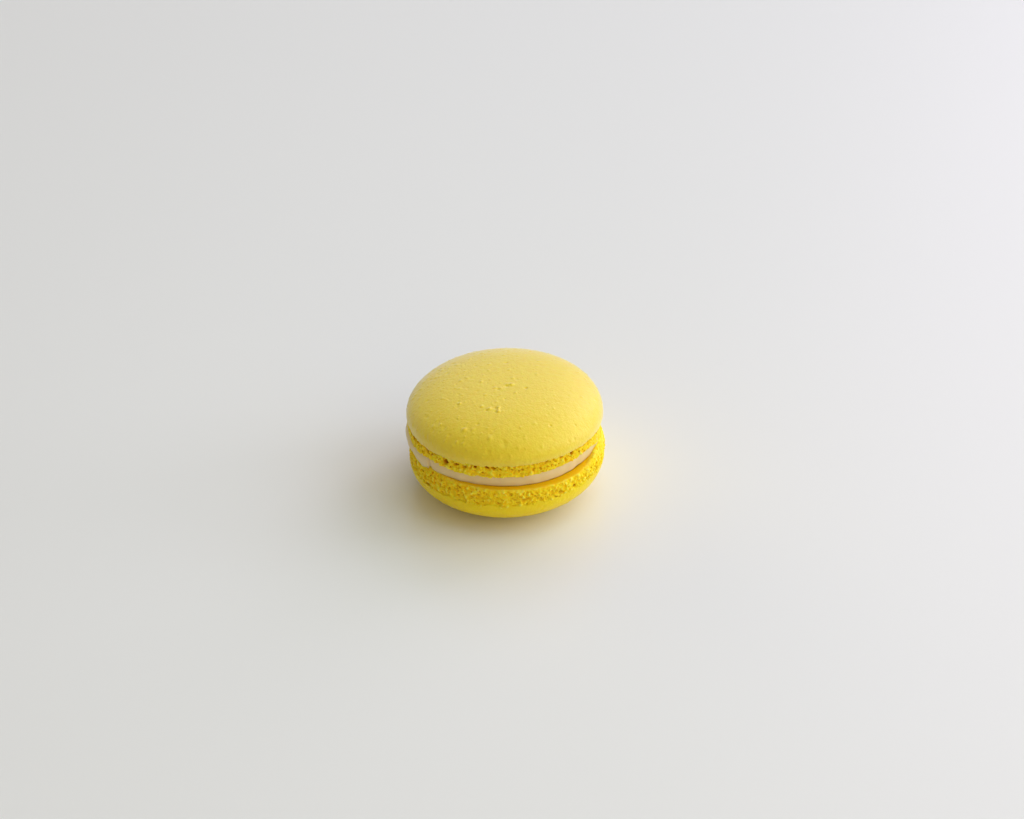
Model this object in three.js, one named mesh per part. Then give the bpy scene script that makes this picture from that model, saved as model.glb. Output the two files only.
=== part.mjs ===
// A French macaron: two baked almond meringue shells, each a smooth dome over a ragged foot, and the
// disc of buttercream between them. The lower shell lies upside down on the crown of its dome, and the
// upper one sits a little askew on the filling.
//
// Millimetres, +Z up. The origin is on the flat spot that the macaron rests on, under the lower shell's
// axis. The front is -Y and the right is +X. Azimuths are degrees from the front towards the right.

import * as THREE from "three";
import { ImprovedNoise } from "three/addons/math/ImprovedNoise.js";

// Driving dimensions.
const SHELL_RADIUS = 23.9; // a shell's widest ring, at the lower edge of its skin
const UNDERSIDE_RADIUS = 22.8; // the flat underside, out to where the foot's crags begin
const LOWER_SHELL_HEIGHT = 13.8;
const LOWER_FOOT_HEIGHT = 4.8;
const UPPER_SHELL_HEIGHT = 11.95;
const UPPER_FOOT_HEIGHT = 3.7;
const FILLING_RADIUS = 23.4;
const FILLING_HEIGHT = 3.3;
const FILLING_BULGE = 0.3; // the filling's side swells out by this much at half height

// How the pieces lie on each other.
const UPPER_TILT = THREE.MathUtils.degToRad(1.7); // the upper shell is higher on the right
const UPPER_OFFSET = new THREE.Vector2(-0.4, 0);
const FILLING_OFFSET = new THREE.Vector2(-1.05, 1.3); // pressed out at the back left
const CONTACT_GAP = 0.05; // between the filling's top and the tilted shell on it

// The dome's cross-section is a superellipse over the foot.
const DOME_EXPONENT = 2.3;
const CROWN_FLAT = 0.25; // how much of the lower dome's crown is pressed flat where it rests
const DOME_SAG = 0.14; // the dome is out of round by this much, each way
const SAG_WIDTH = 19;

// The foot: how far inside the widest ring its mean surface lies, and the groove between it and the
// skin's edge. On the lower shell the foot is almost flush with the skin.
const UPPER_FOOT_SETBACK = 0.3;
const LOWER_FOOT_SETBACK = 0.05;
const UPPER_GROOVE = 0.85; // radial depth
const LOWER_GROOVE = 0.2;
const GROOVE_START = 0.55; // the share of the foot's height from which it is drawn in to the groove
const FOOT_CORNER = 0.5; // the foot's edge at the underside is rounded in by this much
const CORNER_SHARE = 1 / 3; // of the foot's height
const SKIN_LIP = 0.3; // height of the skin's rounded lower edge

// The foot's crags.
const CRAG_DEPTH = 0.6; // radial, each way
const CRAG_LIFT = 0.14; // vertical, each way
const CRAG_WIDTH = 2.2; // size of a crag along the foot
const CRAG_HEIGHT = 1.6; // size of a crag up the foot
const CRAG_OCTAVES = [
  { finer: 1, share: 1.5 },
  { finer: 1.7, share: 0.7 },
];

// What differs round the macaron: smooth swellings, each round one azimuth. The two feet's frills reach
// for each other past the filling's short side.
const UPPER_FRILL = { centre: 92, halfWidth: 40, amount: 1.5 };
const LOWER_FRILL = { centre: 92, halfWidth: 38, amount: 0.8 };
const UPPER_FOOT_RISE = { centre: 5, halfWidth: 50, amount: 0.3 };
const UPPER_FOOT_DIP = { centre: 85, halfWidth: 55, amount: 0.6 };
const LOWER_FOOT_LEAN = 0.8; // the lower foot is this much lower on the right, and higher on the left
const FILLING_SHORT_SIDE = { centre: 100, halfWidth: 65, amount: 0.8 };
const FILLING_OVERLAP = { centre: -75, halfWidth: 60, amount: 0.45 };
const FOLD_START = -51; // the overlap's edge is a fold between these two azimuths
const FOLD_END = -56;
const FILLING_WOBBLE = 0.12;

// Resolution.
const SEGMENTS = 144;
const FOOT_RINGS = 6;
const DOME_RINGS = 11;
const FILLING_SEGMENTS = 96;
const FILLING_RINGS = 5;

const noise = new ImprovedNoise();

/** The azimuth of a point. */
const azimuthOf = (x, y) => THREE.MathUtils.radToDeg(Math.atan2(x, -y));

/** A smooth swelling round the azimuth `centre`: `amount` there, and 0 from `halfWidth` away. */
function swelling(azimuth, { centre, halfWidth, amount }) {
  const away = THREE.MathUtils.euclideanModulo(azimuth - centre + 180, 360) - 180;
  return amount * (0.5 + 0.5 * Math.cos(Math.PI * Math.min(1, Math.abs(away) / halfWidth)));
}

/** The share of CRAG_DEPTH by which a point of a foot stands out, from -1 to 1. */
function crag(x, y, z, seed) {
  let share = 0;
  for (const octave of CRAG_OCTAVES) {
    const along = octave.finer / CRAG_WIDTH;
    const up = octave.finer / CRAG_HEIGHT;
    share += octave.share * noise.noise(x * along + seed, y * along, z * up + seed);
  }
  return THREE.MathUtils.clamp(share, -1, 1);
}

/**
 * One shell's cross-section as it was baked, dome up, from the middle of its underside round to its
 * crown. Each ring has a radius, a height, and the share of the foot's crags that it takes.
 */
function shellProfile({ height, footHeight, footSetback, groove, crownFlat }) {
  const footRadius = SHELL_RADIUS - footSetback;
  const footTop = footHeight - SKIN_LIP;
  const rings = [
    { r: 0, z: 0, rough: 0 },
    { r: UNDERSIDE_RADIUS, z: 0, rough: 0 },
  ];
  // The foot's rings, rounded in at the underside and drawn in towards the skin.
  for (let i = 0; i < FOOT_RINGS; i++) {
    const up = (i + 1 / 3) / FOOT_RINGS;
    const corner = FOOT_CORNER * (1 - Math.sin((Math.PI / 2) * Math.min(1, up / CORNER_SHARE)));
    const drawnIn = groove * THREE.MathUtils.smoothstep(up, GROOVE_START, 1);
    rings.push({ r: footRadius - corner - drawnIn, z: up * footTop, rough: 1 });
  }
  // The groove's end, and the skin's rounded lower edge over it.
  rings.push({ r: footRadius - groove, z: footTop + 0.4 * SKIN_LIP, rough: 0.35 });
  rings.push({ r: SHELL_RADIUS - 0.4 * SKIN_LIP, z: footTop + 0.6 * SKIN_LIP, rough: 0.1 });
  // The dome, its rings evenly spread along the superellipse's parameter.
  const domeHeight = height - footHeight + crownFlat;
  for (let i = 0; i < DOME_RINGS; i++) {
    const turn = (Math.PI / 2) * (i / DOME_RINGS);
    rings.push({
      r: SHELL_RADIUS * Math.cos(turn) ** (2 / DOME_EXPONENT),
      z: Math.min(height, footHeight + domeHeight * Math.sin(turn) ** (2 / DOME_EXPONENT)),
      rough: 0,
    });
  }
  rings.push({ r: 0, z: height, rough: 0 });
  return rings;
}

/**
 * A shell as a closed solid, dome up, with the middle of its underside at the origin. `footHeightAt`
 * and `frillAt` give the foot's height and how far its lower edge hangs below the underside, at an
 * azimuth of the whole macaron. `turnedOver` says that the shell will lie dome down.
 */
function shellGeometry({ turnedOver, seed, footHeightAt, frillAt, ...sizes }) {
  const { height, footHeight } = sizes;
  const rings = shellProfile(sizes);
  const outline = rings.map(({ r, z }) => new THREE.Vector2(r, z));
  const geometry = new THREE.LatheGeometry(outline, SEGMENTS).rotateX(Math.PI / 2);
  const position = geometry.getAttribute("position");
  for (let i = 0; i < position.count; i++) {
    const ringIndex = i % rings.length;
    const { r, z, rough } = rings[ringIndex];
    if (r === 0) continue;
    // Each ring is turned half a segment past the last, so the triangles are near equilateral.
    const segment = Math.floor(i / rings.length) % SEGMENTS;
    const turn = ((segment + ringIndex / 2) * 2 * Math.PI) / SEGMENTS;
    const x = r * Math.sin(turn);
    const y = -r * Math.cos(turn);
    const azimuth = azimuthOf(x, turnedOver ? -y : y);
    // The foot is stretched or squashed to its height here, and the dome takes up the difference.
    const footHere = footHeightAt(azimuth);
    const intoDome = (z - footHeight) / (height - footHeight);
    let lifted = z < footHeight ? (z * footHere) / footHeight : footHere + intoDome * (height - footHere);
    let outwards = z > 0 ? DOME_SAG * noise.noise(x / SAG_WIDTH + seed, y / SAG_WIDTH, seed) : 0;
    if (rough > 0) {
      outwards += rough * CRAG_DEPTH * crag(x, y, z, seed);
      lifted += rough * CRAG_LIFT * noise.noise(x / CRAG_WIDTH, y / CRAG_WIDTH, seed);
      const nearUnderside = Math.max(0, 1 - (2 * z) / footHeight);
      lifted -= frillAt(azimuth) * nearUnderside;
    }
    const spread = 1 + outwards / r;
    position.setXYZ(i, x * spread, y * spread, lifted);
  }
  return geometry;
}

/** The filling's radius at an azimuth: a fold where the piping's ends overlap, and a short right side. */
function fillingRadiusAt(azimuth) {
  const folded = THREE.MathUtils.smoothstep(-azimuth, -FOLD_START, -FOLD_END);
  const overlap = folded * swelling(azimuth, FILLING_OVERLAP);
  const wobble = FILLING_WOBBLE * Math.sin(3 * THREE.MathUtils.degToRad(azimuth) + 1);
  return FILLING_RADIUS + overlap - swelling(azimuth, FILLING_SHORT_SIDE) + wobble;
}

/** The filling as a closed disc, its underside flat and its top leaning with the upper shell. */
function fillingGeometry() {
  const outline = [new THREE.Vector2(0, 0)];
  for (let i = 0; i <= FILLING_RINGS; i++) {
    const up = i / FILLING_RINGS;
    const radius = FILLING_RADIUS - FILLING_BULGE * (2 * up - 1) ** 2;
    outline.push(new THREE.Vector2(radius, up * FILLING_HEIGHT));
  }
  outline.push(new THREE.Vector2(0, FILLING_HEIGHT));
  const geometry = new THREE.LatheGeometry(outline, FILLING_SEGMENTS).rotateX(Math.PI / 2);
  const position = geometry.getAttribute("position");
  for (let i = 0; i < position.count; i++) {
    const stretch = fillingRadiusAt(azimuthOf(position.getX(i), position.getY(i))) / FILLING_RADIUS;
    const x = position.getX(i) * stretch + FILLING_OFFSET.x;
    const y = position.getY(i) * stretch + FILLING_OFFSET.y;
    const top = FILLING_HEIGHT - CONTACT_GAP + (x - UPPER_OFFSET.x) * Math.tan(UPPER_TILT);
    position.setXYZ(i, x, y, (position.getZ(i) / FILLING_HEIGHT) * top);
  }
  return geometry;
}

const shellMaterial = new THREE.MeshStandardMaterial({ color: 0xe9d35f, roughness: 0.78, metalness: 0 });
const fillingMaterial = new THREE.MeshStandardMaterial({ color: 0xecd5b0, roughness: 0.5, metalness: 0 });

/** The lower shell, turned dome down so that its underside faces up. */
function makeLowerShell() {
  const lean = (azimuth) => LOWER_FOOT_LEAN * Math.sin(THREE.MathUtils.degToRad(azimuth));
  const geometry = shellGeometry({
    height: LOWER_SHELL_HEIGHT,
    footHeight: LOWER_FOOT_HEIGHT,
    footSetback: LOWER_FOOT_SETBACK,
    groove: LOWER_GROOVE,
    crownFlat: CROWN_FLAT,
    turnedOver: true,
    seed: 11.3,
    footHeightAt: (azimuth) => LOWER_FOOT_HEIGHT - lean(azimuth),
    frillAt: (azimuth) => swelling(azimuth, LOWER_FRILL),
  });
  const mesh = new THREE.Mesh(geometry, shellMaterial);
  mesh.name = "lower_shell";
  mesh.rotation.x = Math.PI;
  mesh.position.z = LOWER_SHELL_HEIGHT;
  return mesh;
}

/** The buttercream between the shells. */
function makeFilling() {
  const mesh = new THREE.Mesh(fillingGeometry(), fillingMaterial);
  mesh.name = "filling";
  mesh.position.z = LOWER_SHELL_HEIGHT;
  return mesh;
}

/** The upper shell, leaning on the filling. */
function makeUpperShell() {
  const geometry = shellGeometry({
    height: UPPER_SHELL_HEIGHT,
    footHeight: UPPER_FOOT_HEIGHT,
    footSetback: UPPER_FOOT_SETBACK,
    groove: UPPER_GROOVE,
    crownFlat: 0,
    turnedOver: false,
    seed: 47.9,
    footHeightAt: (azimuth) =>
      UPPER_FOOT_HEIGHT + swelling(azimuth, UPPER_FOOT_RISE) - swelling(azimuth, UPPER_FOOT_DIP),
    frillAt: (azimuth) => swelling(azimuth, UPPER_FRILL),
  });
  const mesh = new THREE.Mesh(geometry, shellMaterial);
  mesh.name = "upper_shell";
  mesh.rotation.y = -UPPER_TILT;
  mesh.position.set(UPPER_OFFSET.x, UPPER_OFFSET.y, LOWER_SHELL_HEIGHT + FILLING_HEIGHT);
  return mesh;
}

const macaron = new THREE.Group();
macaron.add(makeLowerShell(), makeFilling(), makeUpperShell());

export default macaron;
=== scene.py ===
"""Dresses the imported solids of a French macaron: two baked almond meringue shells and their buttercream.

Each shell is two pieces, the smooth skin of its dome and the porous foot under it, and the filling is one.
The forms are worked out in millimetres, each shell in its own frame as it was baked: dome up, with the
middle of its underside at the origin. The last step lays them in the macaron, in metres. Azimuths are
degrees from the front towards the right.
"""

import logging
import math
from dataclasses import dataclass
from enum import Enum

import bpy
import numpy as np
from mathutils import Matrix, Vector


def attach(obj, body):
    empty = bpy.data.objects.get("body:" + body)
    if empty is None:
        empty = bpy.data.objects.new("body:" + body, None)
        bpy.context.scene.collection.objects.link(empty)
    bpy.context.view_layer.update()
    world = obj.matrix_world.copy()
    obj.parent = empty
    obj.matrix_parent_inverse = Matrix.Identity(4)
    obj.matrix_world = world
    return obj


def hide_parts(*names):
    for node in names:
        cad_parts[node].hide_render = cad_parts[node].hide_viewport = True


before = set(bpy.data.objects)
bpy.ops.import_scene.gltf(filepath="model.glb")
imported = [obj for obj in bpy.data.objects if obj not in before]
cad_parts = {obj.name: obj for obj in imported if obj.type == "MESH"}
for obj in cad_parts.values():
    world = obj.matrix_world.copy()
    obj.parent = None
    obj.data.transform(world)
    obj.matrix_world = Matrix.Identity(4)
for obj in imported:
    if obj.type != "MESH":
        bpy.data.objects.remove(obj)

logging.basicConfig(level=logging.INFO, format="%(message)s")
log = logging.getLogger("macaron")

MM = 0.001  # metres in a millimetre

Array = np.ndarray
Material = bpy.types.Material
Node = bpy.types.Node
Piece = bpy.types.Object
Socket = bpy.types.NodeSocket

# The node types that the trees here use most.
MATH = "ShaderNodeMath"
VECTOR_MATH = "ShaderNodeVectorMath"
MAP_RANGE = "ShaderNodeMapRange"
NOISE = "ShaderNodeTexNoise"


# ---------------------------------------------------------------------------------------------------
# Nodes


def add_node(tree: bpy.types.NodeTree, kind: str, inputs: dict | None = None, **settings) -> Node:
    """Adds a node, with its settings and with its inputs set or linked.

    Args:
        tree: The node tree that gets the node.
        kind: The node's type name.
        inputs: Input name or index to a value, a socket, or a node, whose first live output is linked.
        settings: Properties of the node.

    Returns:
        The new node.
    """
    node = tree.nodes.new(kind)
    for name, value in settings.items():
        setattr(node, name, value)
    for key, value in (inputs or {}).items():
        if isinstance(value, Node):
            value = next(socket for socket in value.outputs if socket.enabled)
        if isinstance(value, Socket):
            tree.links.new(value, node.inputs[key])
        else:
            node.inputs[key].default_value = value
    return node


def linear(hex_colour: str) -> tuple[float, float, float, float]:
    """The linear colour, with alpha 1, of an sRGB hex value such as "#f2ead0"."""
    shares = [int(hex_colour[i:i + 2], 16) / 255 for i in (1, 3, 5)]
    return (*[s / 12.92 if s <= 0.04045 else ((s + 0.055) / 1.055) ** 2.4 for s in shares], 1.0)


def bare_material(name: str) -> Material:
    """Makes a material whose node tree is empty.

    Args:
        name: The material's name.

    Returns:
        The new material.
    """
    material = bpy.data.materials.new(name)
    material.use_nodes = True
    material.node_tree.nodes.clear()
    return material


class GeometryTree:
    """A Geometry Nodes tree with named inputs, which makes one mesh."""

    def __init__(self, name: str) -> None:
        """Starts an empty tree.

        Args:
            name: The tree's name.
        """
        self.tree = bpy.data.node_groups.new(name, "GeometryNodeTree")
        self.tree.interface.new_socket("Geometry", in_out="INPUT", socket_type="NodeSocketGeometry")
        self.tree.interface.new_socket("Geometry", in_out="OUTPUT", socket_type="NodeSocketGeometry")
        self.sockets: dict[str, tuple[str, float | int]] = {}
        self.entry = add_node(self.tree, "NodeGroupInput")

    def add(self, kind: str, inputs: dict | None = None, **settings) -> Node:
        """Adds a node to this tree, as add_node does."""
        return add_node(self.tree, kind, inputs, **settings)

    def input(self, name: str, value: float | int) -> Socket:
        """Adds a named input with the value that this object's modifier will set.

        Args:
            name: The input's name, in words.
            value: A float for a size, or an int for a count or a seed.

        Returns:
            The socket to link from.
        """
        kind = "NodeSocketInt" if isinstance(value, int) else "NodeSocketFloat"
        socket = self.tree.interface.new_socket(name, in_out="INPUT", socket_type=kind)
        self.sockets[name] = (socket.identifier, value)
        return self.entry.outputs[name]

    def uneven(self, noise: dict, height: Socket, level: float = 0.5) -> Node:
        """Adds an unevenness that goes up and down alike.

        Args:
            noise: The inputs of the noise that it follows.
            height: The input that gives its height.
            level: The noise's value where it is neither up nor down.

        Returns:
            The node that gives the rise.
        """
        swell = self.add(MATH, {0: self.add(NOISE, noise), 1: level}, operation="SUBTRACT")
        return self.add(MATH, {0: swell, 1: height}, operation="MULTIPLY")

    def finish(self, geometry: Node, material: Material) -> None:
        """Ends the tree in real, smooth geometry of one material.

        Args:
            geometry: The node that gives the finished mesh.
            material: Its finish.
        """
        smooth = self.add("GeometryNodeSetShadeSmooth", {"Geometry": geometry})
        real = self.add("GeometryNodeRealizeInstances", {"Geometry": smooth})
        dressed = self.add("GeometryNodeSetMaterial", {"Geometry": real, "Material": material})
        self.add("NodeGroupOutput", {0: dressed})

    def apply(self, piece: Piece) -> None:
        """Runs the tree on a piece and leaves a plain mesh.

        Args:
            piece: The object whose mesh the tree reads and replaces.
        """
        modifier = piece.modifiers.new(self.tree.name, "NODES")
        modifier.node_group = self.tree
        for identifier, value in self.sockets.values():
            modifier[identifier] = value
        bpy.context.view_layer.update()
        evaluated = piece.evaluated_get(bpy.context.evaluated_depsgraph_get())
        made = bpy.data.meshes.new_from_object(evaluated)
        piece.modifiers.remove(modifier)
        old, piece.data = piece.data, made
        made.name = piece.name
        bpy.data.meshes.remove(old)


# ---------------------------------------------------------------------------------------------------
# Forms shared by the pieces


@dataclass(frozen=True)
class Swelling:
    """A smooth rise round one azimuth, down to nothing at half_width from it."""

    centre: float
    half_width: float
    amount: float

    def at(self, azimuth: Array) -> Array:
        """The rise at each azimuth."""
        away = np.abs((azimuth - self.centre + 180) % 360 - 180)
        return self.amount * (0.5 + 0.5 * np.cos(np.pi * np.minimum(1, away / self.half_width)))

    def add_to(self, tree: GeometryTree, value: Node | float, azimuth: Node) -> Node:
        """Adds the same rise to a value in a tree.

        Args:
            tree: The tree that gets the nodes.
            value: The value that the rise is added to.
            azimuth: The node that gives the azimuth.

        Returns:
            The node that gives the raised value.
        """
        turned = tree.add(MATH, {0: azimuth, 1: self.centre}, operation="SUBTRACT")
        wrapped = tree.add(MATH, {0: turned, 1: 180.0, 2: -180.0}, operation="WRAP")
        away = tree.add(MATH, {0: wrapped}, operation="ABSOLUTE")
        share = tree.add(MAP_RANGE, {0: away, 2: self.half_width, 3: math.pi, 4: 0.0})
        wave = tree.add(MATH, {0: share}, operation="COSINE")
        half = self.amount / 2
        rise = tree.add(MATH, {0: wave, 1: -half, 2: half}, operation="MULTIPLY_ADD")
        return tree.add(MATH, {0: value, 1: rise}, operation="ADD")


class Lie(Enum):
    """Which way up a shell lies in the macaron."""

    DOME_UP = 1
    DOME_DOWN = -1


@dataclass(frozen=True)
class ShellForm:
    """One shell's sizes in millimetres, and how it lies in the macaron."""

    radius: float
    height: float
    foot_height: float
    lie: Lie
    place: Matrix
    crown_flat: float = 0.0  # how much of the crown is pressed flat
    dome_exponent: float = 2.3  # of the dome's cross-section, a superellipse
    rises: tuple[Swelling, ...] = ()  # where the foot is taller
    lean: float = 0.0  # how much lower the foot is on the right, and higher on the left
    frills: tuple[Swelling, ...] = (Swelling(93, 47, 3.0),)  # where the foot's rim hangs past its underside
    frill_limit: float = 1.0  # the furthest that it hangs

    def azimuth(self, x: Array, y: Array) -> Array:
        """The azimuth, in the whole macaron, of points of the shell as it was baked."""
        return np.degrees(np.arctan2(x, -self.lie.value * y))

    def foot_at(self, azimuth: Array) -> Array:
        """The foot's height at each azimuth."""
        height = self.foot_height - self.lean * np.sin(np.radians(azimuth))
        return height + sum(rise.at(azimuth) for rise in self.rises)


def hex_disc(rings: int) -> tuple[Array, Array, list[tuple[int, int, int]]]:
    """A disc of near equilateral triangles: ring k has 6 k corners.

    Args:
        rings: How many rings there are round the middle corner.

    Returns:
        Each corner's ring number and turn in radians, and the triangles.
    """
    ring, turn = [0], [0.0]
    triangles = []
    inner = 0
    for k in range(1, rings + 1):
        outer = len(ring)
        ring += [k] * (6 * k)
        turn += [2 * math.pi * i / (6 * k) for i in range(6 * k)]
        inner_count = max(1, 6 * (k - 1))
        for side in range(6):
            for j in range(k):
                a = outer + side * k + j
                b = outer + (side * k + j + 1) % (6 * k)
                c = inner + (side * (k - 1) + j) % inner_count
                triangles.append((a, b, c))
                if j < k - 1:
                    d = inner + (side * (k - 1) + j + 1) % inner_count
                    triangles.append((c, b, d))
        inner = outer
    return np.array(ring), np.array(turn), triangles


def new_piece(name: str, points: Array, faces: list) -> Piece:
    """Makes an object from points in millimetres.

    Args:
        name: The object's name.
        points: One row for each corner.
        faces: The corners of each face.

    Returns:
        The object, in the scene, at the origin.
    """
    mesh = bpy.data.meshes.new(name)
    mesh.from_pydata(points.tolist(), [], faces)
    piece = bpy.data.objects.new(name, mesh)
    bpy.context.scene.collection.objects.link(piece)
    return piece


def hand_over(piece: Piece, place: Matrix, node: str) -> Piece:
    """Lays a finished piece in the macaron, under the root body, and hides the solid it stands for.

    Args:
        piece: The piece, in millimetres, in its own frame.
        place: Where its frame lies in the macaron, in millimetres.
        node: The solid that it stands for.

    Returns:
        The same piece.
    """
    piece.data.transform(Matrix.Scale(MM, 4) @ place)
    piece.data.update()
    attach(piece, "root")
    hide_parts(node)
    return piece


# ---------------------------------------------------------------------------------------------------
# Finishes


@dataclass(frozen=True)
class BakedMeringue:
    """Macaron crust: whipped egg white, sugar and ground almond, dyed lemon and dried to a matt skin.

    It scatters light in its first millimetre, so its shade stays warm. The sugar gives a faint, wide
    highlight, and the dry, dusty top layer a pale bloom where the surface turns away. Ground almond
    shows as a fine, uneven grain.
    """

    name: str
    colour: str = "#f4d30d"
    pale_colour: str = "#f7db1f"
    # painted shade, darker the deeper a pore goes
    pore_shade_colour: str = "#c07800"
    # a painted highlight on the tips of the crumb's lumps
    tip_highlight_colour: str = "#fff062"
    # a deeper golden on the ledge: partly from the hot mat it baked on, partly painted shade
    ledge_baked_and_shade_colour: str = "#eebe00"
    mottle_mm: float = 1.6
    mottle_spread: float = 0.5
    grain_mm: float = 0.42
    grain_height_mm: float = 0.07
    dust_mm: float = 0.13
    dust_height_mm: float = 0.015
    roughness: float = 0.4
    specular: float = 0.5
    sheen: float = 0.6
    scattered: float = 0.25
    scatter_mm: float = 0.8
    porous: bool = False

    def material(self) -> Material:
        """Makes the finish.

        Returns:
            The new material.
        """
        material = bare_material(self.name)
        tree = material.node_tree
        place = add_node(tree, "ShaderNodeTexCoord").outputs["Object"]
        # Ground almond under the skin: soft patches of paler and deeper yellow.
        mottle = add_node(tree, NOISE, {"Vector": place, "Scale": 1 / (self.mottle_mm * MM), "Detail": 4.0})
        grain = add_node(tree, NOISE, {"Vector": place, "Scale": 1 / (self.grain_mm * MM), "Detail": 2.0})
        patchy = add_node(tree, MATH, {0: mottle, 1: grain}, operation="ADD")
        spread = self.mottle_spread / 2
        patches = add_node(tree, MAP_RANGE, {0: patchy, 1: 1 - spread, 2: 1 + spread})
        tints = [(patches, self.pale_colour)]
        # Open crumb also gets a painted highlight on its lumps' tips, and painted shade in its pores and on
        # its ledge.
        if self.porous:
            tints += self.crumb_tints(tree)
        colour = linear(self.colour)
        for share, tint in tints:
            mixed = add_node(tree, "ShaderNodeMix", {"Factor": share, 6: colour, 7: linear(tint)},
                             data_type="RGBA")
            colour = mixed.outputs[2]
        # Almond grain first, and then the sugar dust on it.
        grainy = add_node(tree, "ShaderNodeBump",
                          {"Strength": 1.0, "Distance": self.grain_height_mm * MM, "Height": grain})
        dust = add_node(tree, NOISE, {"Vector": place, "Scale": 1 / (self.dust_mm * MM), "Detail": 1.0})
        dusty = add_node(tree, "ShaderNodeBump",
                         {"Strength": 1.0, "Distance": self.dust_height_mm * MM, "Height": dust,
                          "Normal": grainy})
        shader = add_node(tree, "ShaderNodeBsdfPrincipled",
                          {"Base Color": colour, "Roughness": self.roughness, "IOR": 1.5,
                           "Specular IOR Level": self.specular, "Sheen Weight": self.sheen,
                           "Sheen Roughness": 0.5, "Subsurface Weight": self.scattered,
                           "Subsurface Radius": (1.0, 0.6, 0.15), "Subsurface Scale": self.scatter_mm * MM,
                           "Normal": dusty})
        add_node(tree, "ShaderNodeOutputMaterial", {"Surface": shader})
        return material

    def crumb_tints(self, tree: bpy.types.NodeTree) -> list[tuple[Node, str]]:
        """Where open crumb differs in colour: a painted highlight on its lumps' tips, painted shade deeper in
        the pores, and on the ledge a deeper golden, partly from the hot mat it lay on and partly painted
        shade.

        Args:
            tree: The material's tree.

        Returns:
            The node that gives each colour's share, and the colour.
        """
        depth = add_node(tree, "ShaderNodeAttribute", attribute_name="pore_depth").outputs["Fac"]
        rim = add_node(tree, "ShaderNodeAttribute", attribute_name="rim").outputs["Fac"]
        # A painted highlight on the lumps that stand proud of the wall.
        tip_highlight = add_node(tree, MAP_RANGE, {0: depth, 1: 0.2, 2: -0.15}, interpolation_type="SMOOTHSTEP")
        # The ledge's colour: partly the mat it baked on, partly painted shade.
        mat_side_and_shade = add_node(tree, MAP_RANGE, {0: rim, 1: 0.4, 2: 0.0})
        # Painted shade, darker the deeper a pore goes.
        inside = add_node(tree, MAP_RANGE, {0: depth, 1: 0.25, 2: 0.95}, interpolation_type="SMOOTHSTEP")
        return [(tip_highlight, self.tip_highlight_colour), (mat_side_and_shade, self.ledge_baked_and_shade_colour), (inside, self.pore_shade_colour)]


@dataclass(frozen=True)
class Buttercream:
    """Whipped butter and sugar, smoothed by the nozzle: pale, even, a little translucent, satin."""

    name: str = "buttercream"
    colour: str = "#f0d69e"
    roughness: float = 0.42
    bell_mm: float = 0.5
    bell_height_mm: float = 0.02
    scatter_mm: float = 1.5

    def material(self) -> Material:
        """Makes the finish.

        Returns:
            The new material.
        """
        material = bare_material(self.name)
        tree = material.node_tree
        place = add_node(tree, "ShaderNodeTexCoord").outputs["Object"]
        # Tiny air bells, too fine to see one by one, that break up the highlight.
        bells = add_node(tree, NOISE, {"Vector": place, "Scale": 1 / (self.bell_mm * MM), "Detail": 2.0})
        bump = add_node(tree, "ShaderNodeBump",
                        {"Strength": 0.3, "Distance": self.bell_height_mm * MM, "Height": bells})
        shader = add_node(tree, "ShaderNodeBsdfPrincipled",
                          {"Base Color": linear(self.colour), "Roughness": self.roughness, "IOR": 1.46,
                           "Subsurface Weight": 0.4, "Subsurface Radius": (1.0, 0.7, 0.4),
                           "Subsurface Scale": self.scatter_mm * MM, "Normal": bump})
        add_node(tree, "ShaderNodeOutputMaterial", {"Surface": shader})
        return material


@dataclass(frozen=True)
class PaleFloor:
    """A plain, pale, satin studio surface."""

    name: str = "studio_floor"
    colour: str = "#ecebe8"
    roughness: float = 0.35

    def material(self) -> Material:
        """Makes the finish.

        Returns:
            The new material.
        """
        material = bare_material(self.name)
        tree = material.node_tree
        shader = add_node(tree, "ShaderNodeBsdfPrincipled",
                          {"Base Color": linear(self.colour), "Roughness": self.roughness})
        add_node(tree, "ShaderNodeOutputMaterial", {"Surface": shader})
        return material


# ---------------------------------------------------------------------------------------------------
# The dome's skin


@dataclass(frozen=True)
class Pimple:
    """A raised or sunken spot on a dome, in millimetres from the shell's axis as it was baked."""

    x: float
    y: float
    width: float
    rise: float


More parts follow.
